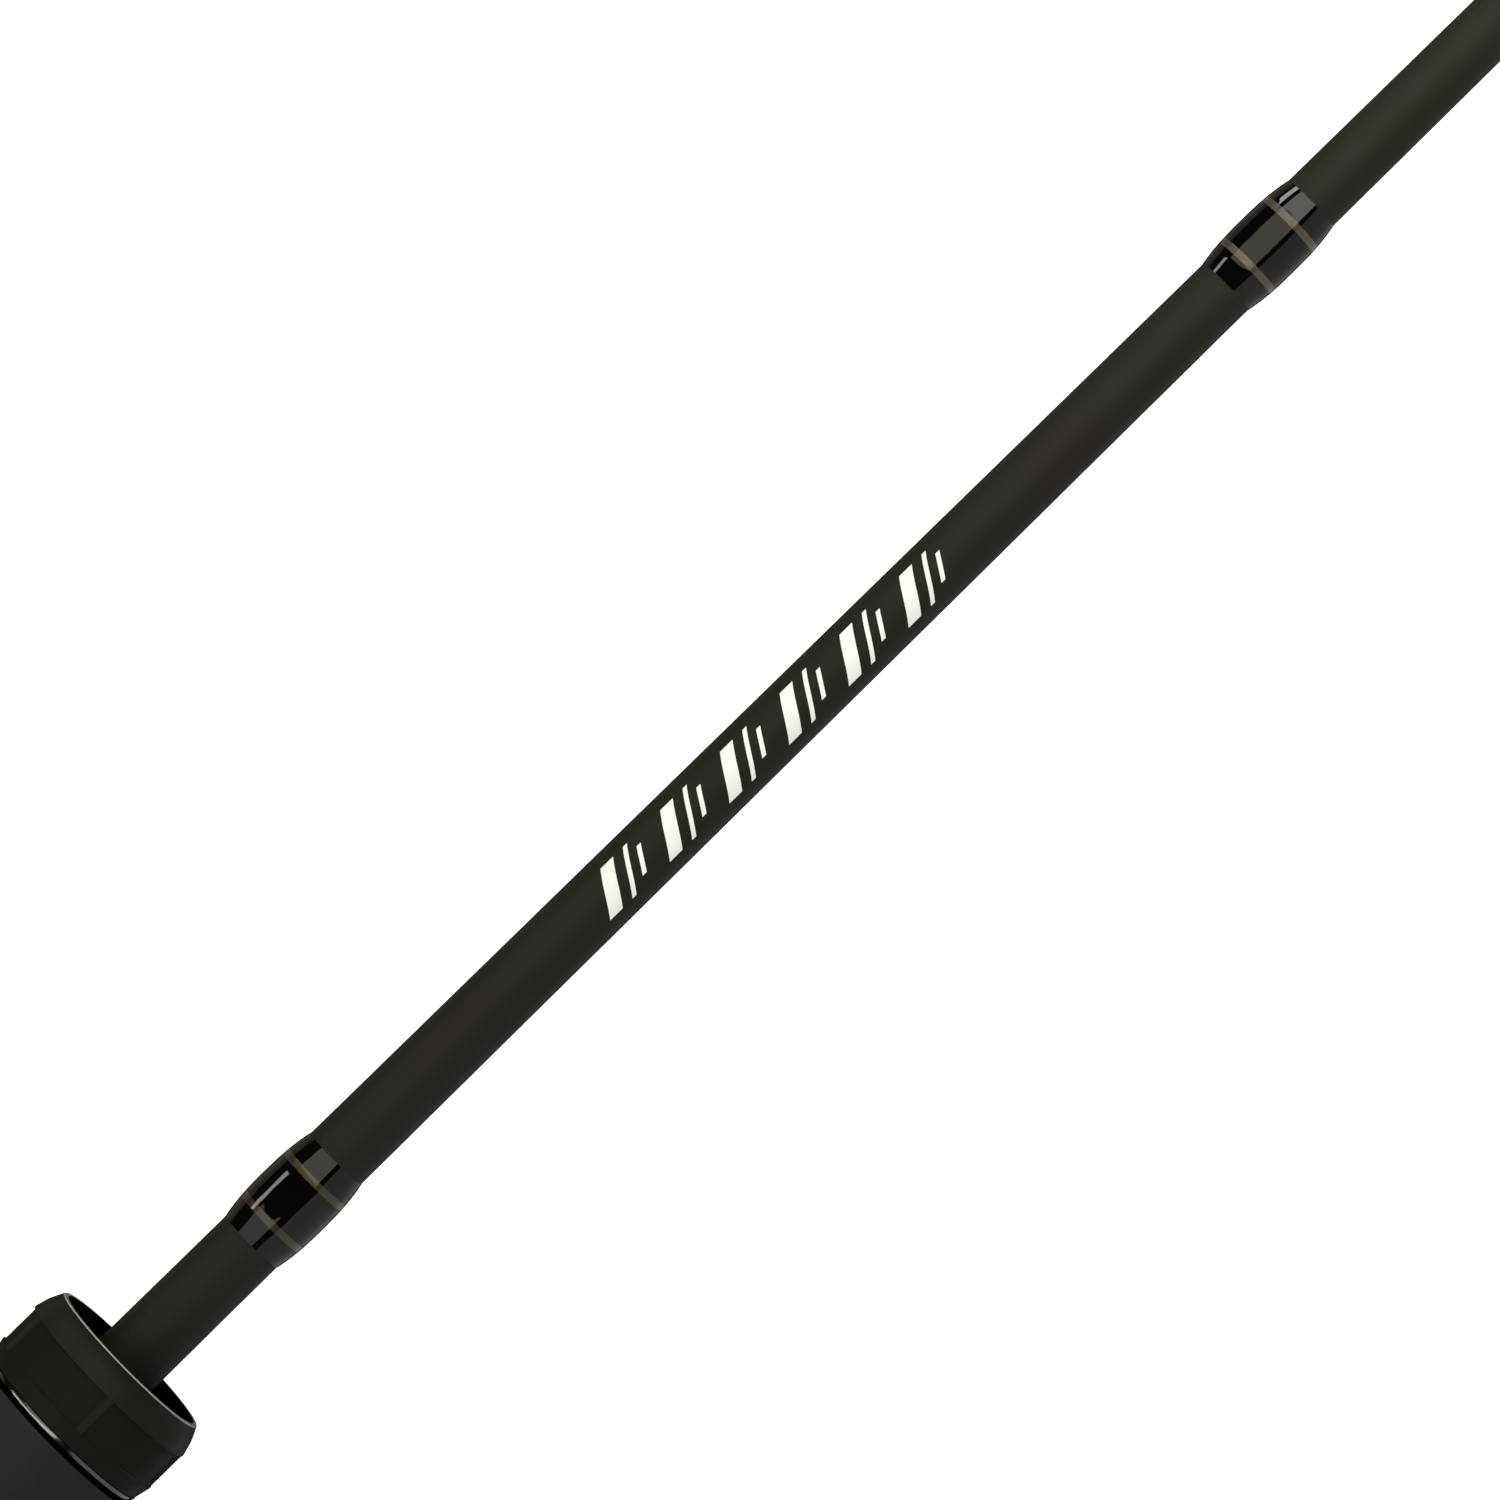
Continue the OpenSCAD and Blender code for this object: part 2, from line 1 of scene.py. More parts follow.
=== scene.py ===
"""Looks of a two-piece spinning rod lying on its side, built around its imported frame."""

import math

import bmesh
import bpy
from mathutils import Matrix, Vector


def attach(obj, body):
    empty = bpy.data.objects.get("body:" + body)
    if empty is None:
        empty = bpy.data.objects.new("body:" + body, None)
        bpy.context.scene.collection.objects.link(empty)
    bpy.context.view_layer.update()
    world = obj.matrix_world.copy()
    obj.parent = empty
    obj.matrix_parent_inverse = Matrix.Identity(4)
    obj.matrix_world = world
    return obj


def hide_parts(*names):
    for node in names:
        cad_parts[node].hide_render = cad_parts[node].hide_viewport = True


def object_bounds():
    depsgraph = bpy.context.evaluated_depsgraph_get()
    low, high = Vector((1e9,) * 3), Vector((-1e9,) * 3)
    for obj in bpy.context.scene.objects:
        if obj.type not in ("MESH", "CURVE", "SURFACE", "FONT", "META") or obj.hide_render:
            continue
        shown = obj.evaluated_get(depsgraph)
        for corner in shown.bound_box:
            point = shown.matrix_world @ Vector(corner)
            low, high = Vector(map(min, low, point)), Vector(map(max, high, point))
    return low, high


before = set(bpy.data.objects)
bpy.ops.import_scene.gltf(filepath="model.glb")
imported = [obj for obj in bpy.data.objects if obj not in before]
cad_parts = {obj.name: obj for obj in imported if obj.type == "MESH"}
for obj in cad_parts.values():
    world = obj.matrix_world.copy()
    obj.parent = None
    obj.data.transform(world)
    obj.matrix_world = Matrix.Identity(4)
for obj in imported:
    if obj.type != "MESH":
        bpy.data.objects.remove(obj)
cad_low, cad_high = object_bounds()

MM = 0.001
FULL_TURN = 2 * math.pi
ON_AXIS = 1e-6
MERGE_DIST = 1e-4
NEAR = 1e-3
BUTT, HOOD, NUT, TIP = "butt_section", "sliding_hood", "lock_nut", "tip_section"

# ---- sizes of the rod, in millimetres, as its frame has them ----
CAP_FRONT = 14
REAR_GRIP_START, REAR_GRIP_END, REAR_CHECK_END = 16, 116, 121
UPPER_CHECK_START, UPPER_GRIP_START, UPPER_GRIP_END = 235, 240, 350
SEAT_START, SEAT_END = 352, 474
SEAT_R, SCREW_BORE, POCKET_R = 15.1, 11.88, 14.3
BED, HOOD_RELIEF = 8.2, 8.05
NUT_FRONT = 480.0
BLANK_D = 10.57
BLANK_TAPER = 0.00598
WRAP_GAP = 0.02
KEEPER_START, LABEL_START, WRAP_LEN = 504.1, 698.9, 16.9
KEEPER_H, LABEL_H = 0.74, 0.68
BAND_W, BAND_IN = 1.1, 4.2
SOCKET_START, MALE_END = 963.0, 1020.0
SOCKET_GAP, SOCKET_WALL = 0.07, 0.8
TIP_TUBE_START = 1956.0
FOOT_GAP, FOOT_TAPER = 0.05, 0.65

# ---- distances of the lights and the floor, in metres ----
WINDOW_DIST, FILL_DIST, DIFFUSE_DIST = 1.08, 0.95, 1.6
FLOOR_MIDDLE_X, FLOOR_HALF, FLOOR_GAP = 1.0, 30.0, 0.0004


def blank_r(x):
    """Radius of the blank at x."""
    return (BLANK_D - BLANK_TAPER * (x - NUT_FRONT)) / 2


# ---- camera, lights and floor ----


def build_camera():
    cam = bpy.data.objects.new("camera", bpy.data.cameras.new("camera"))
    bpy.context.scene.collection.objects.link(cam)
    cam.data.lens = 192.9
    cam.data.sensor_width = 36
    cam.data.clip_start, cam.data.clip_end = 0.05, 100
    cam.location = (0.60407, 0.0003, 1.148)
    cam.rotation_euler = (0, 0, math.radians(-44.42))
    bpy.context.scene.camera = cam


def panel(name, place, aim, width, height, radiance, colour=(1, 1, 1)):
    """Soft rectangular light of a given brightness, its width along the rod where it can be."""
    data = bpy.data.lights.new(name, "AREA")
    data.shape = "RECTANGLE"
    data.size, data.size_y = width, height
    data.energy = radiance * width * height * math.pi
    data.color = colour
    lamp = bpy.data.objects.new(name, data)
    bpy.context.scene.collection.objects.link(lamp)
    back = (Vector(place) - Vector(aim)).normalized()
    along = Vector((1, 0, 0)) - back * back.x
    if along.length < 0.2:
        along = Vector((0, 1, 0)) - back * back.y
    along.normalize()
    turn = Matrix((along, back.cross(along), back)).transposed().to_4x4()
    lamp.matrix_world = Matrix.Translation(place) @ turn
    lamp.visible_camera = False
    return lamp


def arc_panel(name, low_x, high_x, from_deg, to_deg, distance, radiance, colour=(1, 1, 1)):
    """Panel that lies between two angles round the blank, counted from straight up towards +Y."""
    middle = math.radians((from_deg + to_deg) / 2)
    half = math.radians((to_deg - from_deg) / 2)
    x = (low_x + high_x) / 2
    place = (x, distance * math.sin(middle), distance * math.cos(middle))
    return panel(name, place, (x, 0, 0), high_x - low_x, 2 * distance * math.tan(half), radiance, colour)


def build_lights():
    arc_panel("window", 0.60, 1.02, -16, 58, WINDOW_DIST, 1.35, (1.0, 0.94, 0.80))
    arc_panel("window_front", 1.02, 1.50, -16, 58, WINDOW_DIST, 2.6, (1.0, 0.98, 0.92))
    arc_panel("rear_panel", -0.35, 0.30, -10, 54, WINDOW_DIST, 0.9, (1.0, 0.96, 0.9))
    # this one shows only as a reflection
    ring_key = arc_panel("ring_key", -1.0, -0.45, -4, 82, WINDOW_DIST, 3.0, (1.0, 0.98, 0.94))
    ring_key.visible_diffuse = False
    arc_panel("far_softbox", -0.12, 0.46, 65, 76, 2.8, 5.0, (1.0, 0.95, 0.84))
    arc_panel("side_key", 1.20, 1.60, 74, 92, 2.0, 6.0)
    arc_panel("side_fill", -0.60, 2.20, -92, -31, FILL_DIST, 0.46, (1.0, 1.0, 0.96))
    arc_panel("low_fill", -0.60, 2.20, -150, -92, FILL_DIST, 0.46, (1.0, 1.0, 0.98))
    arc_panel("low_bounce", -0.60, 2.20, 104, 150, FILL_DIST, 0.22, (1.0, 0.92, 0.74))
    # these light the matt surfaces and show in no reflection
    for name, low_x, high_x, low, high, radiance in (
            ("overhead", -0.40, 2.40, -40, 40, 0.65),
            ("rear", -0.95, 0.10, -35, 35, 1.6),
            ("front", 0.95, 2.40, -40, 40, 0.9),
            ("near_side", -0.40, 2.40, 45, 95, 0.5)):
        lamp = arc_panel(name + "_diffuse", low_x, high_x, low, high, DIFFUSE_DIST, radiance)
        lamp.visible_glossy = False


def build_world():
    world = bpy.data.worlds.new("studio")
    bpy.context.scene.world = world
    world.use_nodes = True
    nodes, links = world.node_tree.nodes, world.node_tree.links
    nodes.clear()
    out = nodes.new("ShaderNodeOutputWorld")
    pale = nodes.new("ShaderNodeBackground")
    pale.inputs["Color"].default_value = (1, 1, 1, 1)
    dim = nodes.new("ShaderNodeBackground")
    dim.inputs["Color"].default_value = (0.02, 0.02, 0.021, 1)
    path = nodes.new("ShaderNodeLightPath")
    mix = nodes.new("ShaderNodeMixShader")
    links.new(path.outputs["Is Camera Ray"], mix.inputs[0])
    links.new(dim.outputs[0], mix.inputs[1])
    links.new(pale.outputs[0], mix.inputs[2])
    links.new(mix.outputs[0], out.inputs[0])


def build_floor():
    bm = bmesh.new()
    bmesh.ops.create_grid(bm, x_segments=1, y_segments=1, size=FLOOR_HALF)
    bmesh.ops.translate(bm, vec=(FLOOR_MIDDLE_X, 0, cad_low.z - FLOOR_GAP), verts=bm.verts)
    mesh = bpy.data.meshes.new("studio_floor")
    bm.to_mesh(mesh)
    bm.free()
    floor = bpy.data.objects.new("studio_floor", mesh)
    bpy.context.scene.collection.objects.link(floor)
    mat = bpy.data.materials.new("studio_floor")
    mat.use_nodes = True
    shader = mat.node_tree.nodes["Principled BSDF"]
    shader.inputs["Base Color"].default_value = (0.9, 0.9, 0.9, 1)
    shader.inputs["Roughness"].default_value = 1.0
    shader.inputs["Emission Color"].default_value = (1, 1, 1, 1)
    shader.inputs["Emission Strength"].default_value = 1.0
    mesh.materials.append(mat)
    floor.visible_glossy = False
    floor.visible_diffuse = False
    floor.visible_shadow = False


# ---- finishes ----

# a noise pattern lies mostly between these two
NOISE_LOW, NOISE_HIGH = 0.3, 0.7


class Finish:
    """A principled material with helpers for its pattern, all read from Object coordinates."""

    def __init__(self, name, roughness, metallic=0.0, specular=0.5, coat=0.0, coat_rough=0.03):
        self.mat = bpy.data.materials.new(name)
        self.mat.use_nodes = True
        self.nodes, self.links = self.mat.node_tree.nodes, self.mat.node_tree.links
        self.shader = self.nodes["Principled BSDF"]
        self.shader.inputs["Roughness"].default_value = roughness
        self.shader.inputs["Metallic"].default_value = metallic
        self.shader.inputs["Specular IOR Level"].default_value = specular
        self.shader.inputs["Coat Weight"].default_value = coat
        self.shader.inputs["Coat Roughness"].default_value = coat_rough
        self.coords = self.nodes.new("ShaderNodeTexCoord")

    def stretched(self, scale):
        """Object coordinates, scaled by axis."""
        mapping = self.nodes.new("ShaderNodeMapping")
        mapping.inputs["Scale"].default_value = scale
        self.links.new(self.coords.outputs["Object"], mapping.inputs["Vector"])
        return mapping.outputs["Vector"]

    def noise(self, scale, detail=2.0, stretch=(1, 1, 1)):
        node = self.nodes.new("ShaderNodeTexNoise")
        node.inputs["Scale"].default_value = scale
        node.inputs["Detail"].default_value = detail
        self.links.new(self.stretched(stretch), node.inputs["Vector"])
        return node.outputs["Fac"]

    def cells(self, scale):
        node = self.nodes.new("ShaderNodeTexVoronoi")
        node.inputs["Scale"].default_value = scale
        self.links.new(self.stretched((1, 1, 1)), node.inputs["Vector"])
        return node.outputs["Distance"]

    def rings(self, pitch_mm, wobble=0.0):
        """Fine lines round the blank axis, as of thread laid turn by turn."""
        node = self.nodes.new("ShaderNodeTexWave")
        node.wave_type = "BANDS"
        node.bands_direction = "X"
        node.inputs["Scale"].default_value = math.pi / (10 * pitch_mm * MM)
        node.inputs["Distortion"].default_value = wobble
        self.links.new(self.stretched((1, 1, 1)), node.inputs["Vector"])
        return node.outputs["Fac"]

    def along_rod(self, low, high):
        """Runs from 0 to 1 between two places along the rod."""
        split = self.nodes.new("ShaderNodeSeparateXYZ")
        self.links.new(self.coords.outputs["Object"], split.inputs[0])
        node = self.nodes.new("ShaderNodeMapRange")
        node.inputs["From Min"].default_value = low * MM
        node.inputs["From Max"].default_value = high * MM
        self.links.new(split.outputs["X"], node.inputs["Value"])
        return node.outputs["Result"]

    def times(self, first, second):
        """One colour multiplied by another."""
        node = self.nodes.new("ShaderNodeMix")
        node.data_type = "RGBA"
        node.blend_type = "MULTIPLY"
        node.inputs["Factor"].default_value = 1.0
        self.links.new(first, node.inputs["A"])
        self.links.new(second, node.inputs["B"])
        return node.outputs["Result"]

    def ramp(self, fac, *stops):
        node = self.nodes.new("ShaderNodeValToRGB")
        ramp = node.color_ramp
        while len(ramp.elements) < len(stops):
            ramp.elements.new(0.5)
        for element, (place, colour) in zip(ramp.elements, stops):
            element.position = place
            element.color = (*colour, 1)
        self.links.new(fac, node.inputs["Fac"])
        return node.outputs["Color"]

    def colour(self, source):
        self.links.new(source, self.shader.inputs["Base Color"])
        return self

    def two_tone(self, noise, low, high):
        """Base colour that drifts between two tones."""
        return self.colour(self.ramp(noise, (NOISE_LOW, low), (NOISE_HIGH, high)))

    def rough(self, fac, low, high):
        node = self.nodes.new("ShaderNodeMapRange")
        node.inputs["From Min"].default_value = NOISE_LOW
        node.inputs["From Max"].default_value = NOISE_HIGH
        node.inputs["To Min"].default_value = low
        node.inputs["To Max"].default_value = high
        self.links.new(fac, node.inputs["Value"])
        self.links.new(node.outputs["Result"], self.shader.inputs["Roughness"])
        return self

    def bump(self, height, depth_mm, strength=1.0, layer="Normal"):
        node = self.nodes.new("ShaderNodeBump")
        node.inputs["Strength"].default_value = strength
        node.inputs["Distance"].default_value = depth_mm * MM
        self.links.new(height, node.inputs["Height"])
        self.links.new(node.outputs["Normal"], self.shader.inputs[layer])
        return self


def blank_finish():
    """Satin carbon with a fixed painted shade along the blank: a painted shadow of the nut, darkest just
    ahead of it, and painted light that grows paler towards the second wrap.
    """
    f = Finish("satin_carbon", 0.46, specular=0.16)
    drift = f.noise(34, 2.0, (1, 1.5, 1.5))
    tint = f.ramp(drift, (0.35, (0.0165, 0.0155, 0.0105)), (0.5, (0.0175, 0.0178, 0.0130)),
                  (0.68, (0.0190, 0.0158, 0.0132)))
    # painted shade: the colour is multiplied by a fixed ramp along the blank, a painted nut shadow darkest
    # just ahead of the nut and painted light paler towards the second wrap
    shade_start, shade_end = 460, 780
    depth = ((0.0, 0.8), (0.05, 0.8), (0.0625, 0.45), (0.10, 0.65), (0.31, 0.72), (0.62, 0.90), (0.94, 1.10))
    painted_shade_tones = [(place, (tone, tone, tone)) for place, tone in depth]
    shade = f.ramp(f.along_rod(shade_start, shade_end), *painted_shade_tones)
    f.colour(f.times(tint, shade))
    f.rough(f.noise(260, 3.0), 0.44, 0.54)
    return f.bump(f.rings(2.6, 0.4), 0.004, 0.25).mat


def wrap_finish(name, wobble):
    """Black thread under clear lacquer, whose surface waves by up to wobble millimetres."""
    f = Finish(name, 0.6, specular=0.0, coat=1.0, coat_rough=0.015)
    f.two_tone(f.noise(90, 2.0), (0.0006, 0.0006, 0.0005), (0.0014, 0.0013, 0.0011))
    f.bump(f.noise(330, 1.0), wobble, 1.0, "Coat Normal")
    return f.bump(f.rings(0.22), 0.02, 0.5).mat


def band_finish(name, low, high):
    f = Finish(name, 0.35, metallic=0.8, specular=0.4, coat=1.0, coat_rough=0.02)
    f.colour(f.ramp(f.rings(0.16, 1.5), (0.2, low), (0.8, high)))
    return f.bump(f.rings(0.16), 0.02, 0.6).mat


def moulded_finish(name, low, high, rough_low, rough_high, specular=0.2):
    f = Finish(name, rough_low, specular=specular)
    f.two_tone(f.noise(40, 2.0), low, high)
    f.rough(f.noise(300, 2.0), rough_low, rough_high)
    return f.bump(f.noise(3200, 3.0), 0.01, 0.25).mat


def foam_finish():
    f = Finish("closed_cell_foam", 0.9, specular=0.25)
    f.colour(f.ramp(f.cells(1400), (0.1, (0.012, 0.012, 0.012)), (0.6, (0.03, 0.03, 0.031))))
    return f.bump(f.cells(1400), 0.12, 0.6).mat


def rubber_finish():
    f = Finish("cap_rubber", 0.7, specular=0.35)
    f.two_tone(f.noise(120, 3.0), (0.014, 0.014, 0.014), (0.024, 0.024, 0.024))
    return f.bump(f.noise(1800, 3.0), 0.02, 0.4).mat


def turned_metal_finish(name, low, high, roughness):
    f = Finish(name, roughness, metallic=1.0)
    f.two_tone(f.noise(600, 2.0, (4, 0.4, 0.4)), low, high)
    f.rough(f.noise(900, 2.0, (6, 0.3, 0.3)), roughness * 0.8, roughness * 1.3)
    return f.bump(f.rings(0.12, 0.6), 0.002, 0.3).mat


def dark_bright_finish():
    """Smooth dark metal that shows a clean highlight."""
    f = Finish("nut_ring_metal", 0.14, metallic=1.0)
    f.two_tone(f.noise(60, 1.0), (0.135, 0.131, 0.124), (0.165, 0.160, 0.151))
    return f.rough(f.noise(90, 1.0), 0.12, 0.17).mat


def ceramic_finish():
    f = Finish("black_ceramic", 0.08, specular=0.6)
    f.two_tone(f.noise(300, 2.0), (0.01, 0.01, 0.011), (0.018, 0.018, 0.02))
    return f.rough(f.noise(700, 2.0), 0.05, 0.12).mat


def paint_finish():
    f = Finish("white_paint", 0.4, specular=0.4)
    f.two_tone(f.noise(150, 3.0), (0.84, 0.84, 0.81), (0.90, 0.90, 0.88))
    return f.rough(f.noise(500, 2.0), 0.35, 0.5).mat


build_camera()
build_world()
build_floor()
build_lights()

BLANK = blank_finish()
WRAP = wrap_finish("lacquered_black_thread", 0.02)
UNEVEN_WRAP = wrap_finish("uneven_lacquered_thread", 0.07)
BAND = band_finish("lacquered_bronze_thread", (0.055, 0.047, 0.033), (0.160, 0.140, 0.100))
# the keeper wrap's bands: the same bronze thread as the label wrap's, drawn darker as painted shade
SHADED_BAND = band_finish("lacquered_bronze_thread_painted_shade", (0.024, 0.020, 0.012), (0.082, 0.069, 0.042))
SEAT = moulded_finish("seat_moulding", (0.0092, 0.0079, 0.0082), (0.0125, 0.0111, 0.0115), 0.5, 0.62)
NUT_SKIN = moulded_finish("nut_moulding", (0.0080, 0.0077, 0.0055), (0.0106, 0.0101, 0.0074), 0.40, 0.50,
                          specular=0.12)
PAD_SKIN = moulded_finish("nut_pad", (0.0060, 0.0052, 0.0033), (0.0080, 0.0070, 0.0048), 0.5, 0.6,
                          specular=0.08)
# painted highlight on the nut's front rim: a pale grey far lighter than the nut's own dark moulding
RIM_PAINTED_HIGHLIGHT = moulded_finish("nut_rim_painted_highlight", (0.32, 0.315, 0.30), (0.42, 0.412, 0.395), 0.25, 0.32)
# near-black painted shade for the nut's mouth and screw bore and for the hood's front face behind the nut
PAINTED_SHADE = moulded_finish("painted_shade", (0.0003, 0.0003, 0.0003), (0.0006, 0.0006, 0.0006), 0.8, 0.9,
                      specular=0.0)
FOAM = foam_finish()
RUBBER = rubber_finish()
TRIM = turned_metal_finish("polished_trim", (0.62, 0.60, 0.56), (0.78, 0.76, 0.72), 0.2)
RING_TRIM = dark_bright_finish()
STEEL = turned_metal_finish("dark_stainless", (0.10, 0.10, 0.105), (0.16, 0.16, 0.165), 0.22)
LINER = turned_metal_finish("pressed_stainless", (0.40, 0.40, 0.40), (0.52, 0.52, 0.52), 0.3)
CERAMIC = ceramic_finish()
PAINT = paint_finish()

# ---- making pieces ----


def finish_piece(bm, name, mats, body, replaced, sharp=35):
    """Turns a bmesh in millimetres into a piece of the rod."""
    bmesh.ops.scale(bm, vec=(MM, MM, MM), verts=bm.verts)
    bmesh.ops.recalc_face_normals(bm, faces=bm.faces)
    for face in bm.faces:
        face.smooth = True
    mesh = bpy.data.meshes.new(name)
    bm.to_mesh(mesh)
    bm.free()
    mesh.set_sharp_from_angle(angle=math.radians(sharp))
    for mat in mats if isinstance(mats, (list, tuple)) else [mats]:
        mesh.materials.append(mat)
    obj = bpy.data.objects.new(name, mesh)
    bpy.context.scene.collection.objects.link(obj)
    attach(obj, body)
    if replaced:
        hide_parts(*replaced)
    return obj


def turn_profile(bm, profile, segments=96):
    """Spins a closed outline of (x, radius) points round the blank axis. Ends on the axis close to a pole."""
    verts = [bm.verts.new((x, r, 0)) for x, r in profile]
    edges = [bm.edges.new((a, b)) for a, b in zip(verts, verts[1:] + verts[:1])
             if abs(a.co.y) > ON_AXIS or abs(b.co.y) > ON_AXIS]
    bmesh.ops.spin(bm, geom=verts + edges, cent=(0, 0, 0), axis=(1, 0, 0), angle=FULL_TURN,
                   steps=segments, use_merge=True)
    bmesh.ops.remove_doubles(bm, verts=bm.verts, dist=MERGE_DIST)
    bmesh.ops.recalc_face_normals(bm, faces=bm.faces)


def soften(bm, edges, size, segments=3):
    """Bevels a set of edges."""
    bmesh.ops.bevel(bm, geom=edges, offset=size, offset_type="OFFSET", segments=segments, profile=0.5,
                    affect="EDGES", clamp_overlap=True, material=-1)


def round_corners(bm, corners):
    """Rounds the turned edges at (x, radius, size) with a few facets each."""
    for x, r, size in corners:
        ring = [e for e in bm.edges
                if all(abs(v.co.x - x) < NEAR for v in e.verts)
                and all(abs(math.hypot(v.co.y, v.co.z) - r) < NEAR for v in e.verts)]
        soften(bm, ring, size)


def add_mesh(bm, other):
    """Adds a finished bmesh to another one, and frees it."""
    mesh = bpy.data.meshes.new("joined")
    other.to_mesh(mesh)
    other.free()
    bm.from_mesh(mesh)
    bpy.data.meshes.remove(mesh)


def lathe(name, profile, mats, body, replaced=(), corners=(), segments=96, shift=None, sharp=35):
    bm = bmesh.new()
    turn_profile(bm, profile, segments)
    round_corners(bm, corners)
    if shift:
        bmesh.ops.translate(bm, vec=shift, verts=bm.verts)
    return finish_piece(bm, name, mats, body, replaced, sharp)


# ---- handle ----


def build_handle():
    cap = [(0, 0), (0, 13.3), (CAP_FRONT, 13.3), (CAP_FRONT, 6.73), (4, 6.76), (4, 0)]
    lathe("butt_cap_rubber", cap, RUBBER, BUTT, ["butt_cap"],
          [(0, 13.3, 1.6), (CAP_FRONT, 13.3, 0.3)])
    ring = [(CAP_FRONT, 6.74), (CAP_FRONT, 13.3), (REAR_GRIP_START, 13.3), (REAR_GRIP_START, 6.74)]
    lathe("butt_ring", ring, TRIM, BUTT, ["butt_trim_ring"],
          [(CAP_FRONT, 13.3, 0.25), (REAR_GRIP_START, 13.3, 0.25)])
    rear = [(REAR_GRIP_START, 6.73), (REAR_GRIP_START, 13.5), (78, 13.5), (82, 13.38), (86, 13.0), (91, 12.5),
            (96, 11.9), (102, 11.15), (108, 10.5), (112, 10.05), (115, 9.6), (REAR_GRIP_END, 8.8),
            (REAR_GRIP_END, 6.43)]
    lathe("rear_grip_foam", rear, FOAM, BUTT, ["rear_grip"],
          [(REAR_GRIP_START, 13.5, 0.5), (115, 9.6, 0.4)])
    rear_check = [(REAR_GRIP_END, 6.41), (REAR_GRIP_END, 8.6), (117.4, 8.6), (REAR_CHECK_END, 7.4),
                  (REAR_CHECK_END, 6.41)]
    lathe("rear_grip_winding_check", rear_check, TRIM, BUTT, ["rear_grip_check"],
          [(117.4, 8.6, 0.3), (REAR_CHECK_END, 7.4, 0.3)])
    upper_check = [(UPPER_CHECK_START, 6.05), (UPPER_CHECK_START, 7.2), (238.6, 8.6), (UPPER_GRIP_START, 8.6),
                   (UPPER_GRIP_START, 6.05)]
    lathe("upper_grip_winding_check", upper_check, TRIM, BUTT, ["upper_grip_check"],
          [(238.6, 8.6, 0.3), (UPPER_CHECK_START, 7.2, 0.3)])
    upper = [(UPPER_GRIP_START, 6.05), (UPPER_GRIP_START, 9.6), (241, 10.4), (250, 11.3), (262, 12.2),
             (276, 13.0), (294, 13.65), (312, 14.0), (334, 14.4), (UPPER_GRIP_END, 14.4),
             (UPPER_GRIP_END, 5.74)]
    lathe("upper_grip_foam", upper, FOAM, BUTT, ["upper_grip"],
          [(241, 10.4, 0.4), (UPPER_GRIP_END, 14.4, 0.5)])
    seat_ring = [(UPPER_GRIP_END, 5.74), (UPPER_GRIP_END, 14.7), (SEAT_START, 14.7), (SEAT_START, 5.74)]
    lathe("seat_ring", seat_ring, TRIM, BUTT, ["seat_trim_ring"],
          [(UPPER_GRIP_END, 14.7, 0.25), (SEAT_START, 14.7, 0.25)])


# ---- blank, wraps and painted mark ----


def build_blanks():
    x0, x1 = 4.0, MALE_END
    wall0, wall1 = 1.3, 1.0
    butt = [(x0, blank_r(x0) - wall0), (x0, blank_r(x0)), (x1 - 0.4, blank_r(x1)), (x1, blank_r(x1) - 0.3),
            (x1, blank_r(x1) - wall1)]
    lathe("butt_section_blank", butt, BLANK, BUTT, ["butt_blank"])
    s0, s1 = blank_r(SOCKET_START) + SOCKET_GAP, blank_r(MALE_END) + SOCKET_GAP
    flare_end, solid_start, tip_end = MALE_END + 40, 1668.0, 1968.0
    tip = [(SOCKET_START, s0), (SOCKET_START, s0 + 0.5), (SOCKET_START + 0.4, s0 + SOCKET_WALL),
           (MALE_END + 4, s1 + SOCKET_WALL), (flare_end, blank_r(flare_end)), (tip_end, blank_r(tip_end)),
           (tip_end, 0), (solid_start + 6, 0), (solid_start, blank_r(solid_start) - 0.8),
           (MALE_END + 8, s1 - 1.2), (MALE_END + 2, s1 - 0.6), (MALE_END + 2, s1)]
    lathe("tip_section_blank", tip, BLANK, TIP, ["tip_blank"], sharp=20)


def bulge(u):
    """Height of a wrap's lacquer, as a share of the most, at a share of its length."""
    return 1 - abs(2 * u - 1) ** 2.6


def wrap_surface(x0, length, height, base=blank_r, foot=0.03):
    """Gives the function that tells a lacquered wrap's outside radius at any x."""
    def surface(x):
        share = min(1, max(0, (x - x0) / length))
        return base(x) + WRAP_GAP + foot + (height - foot) * bulge(share)

    return surface


def stations(x0, x1, step):
    """Evenly spaced places from x0 to x1, about a step apart."""
    n = max(2, round((x1 - x0) / step))
    return [x0 + (x1 - x0) * i / n for i in range(n + 1)]


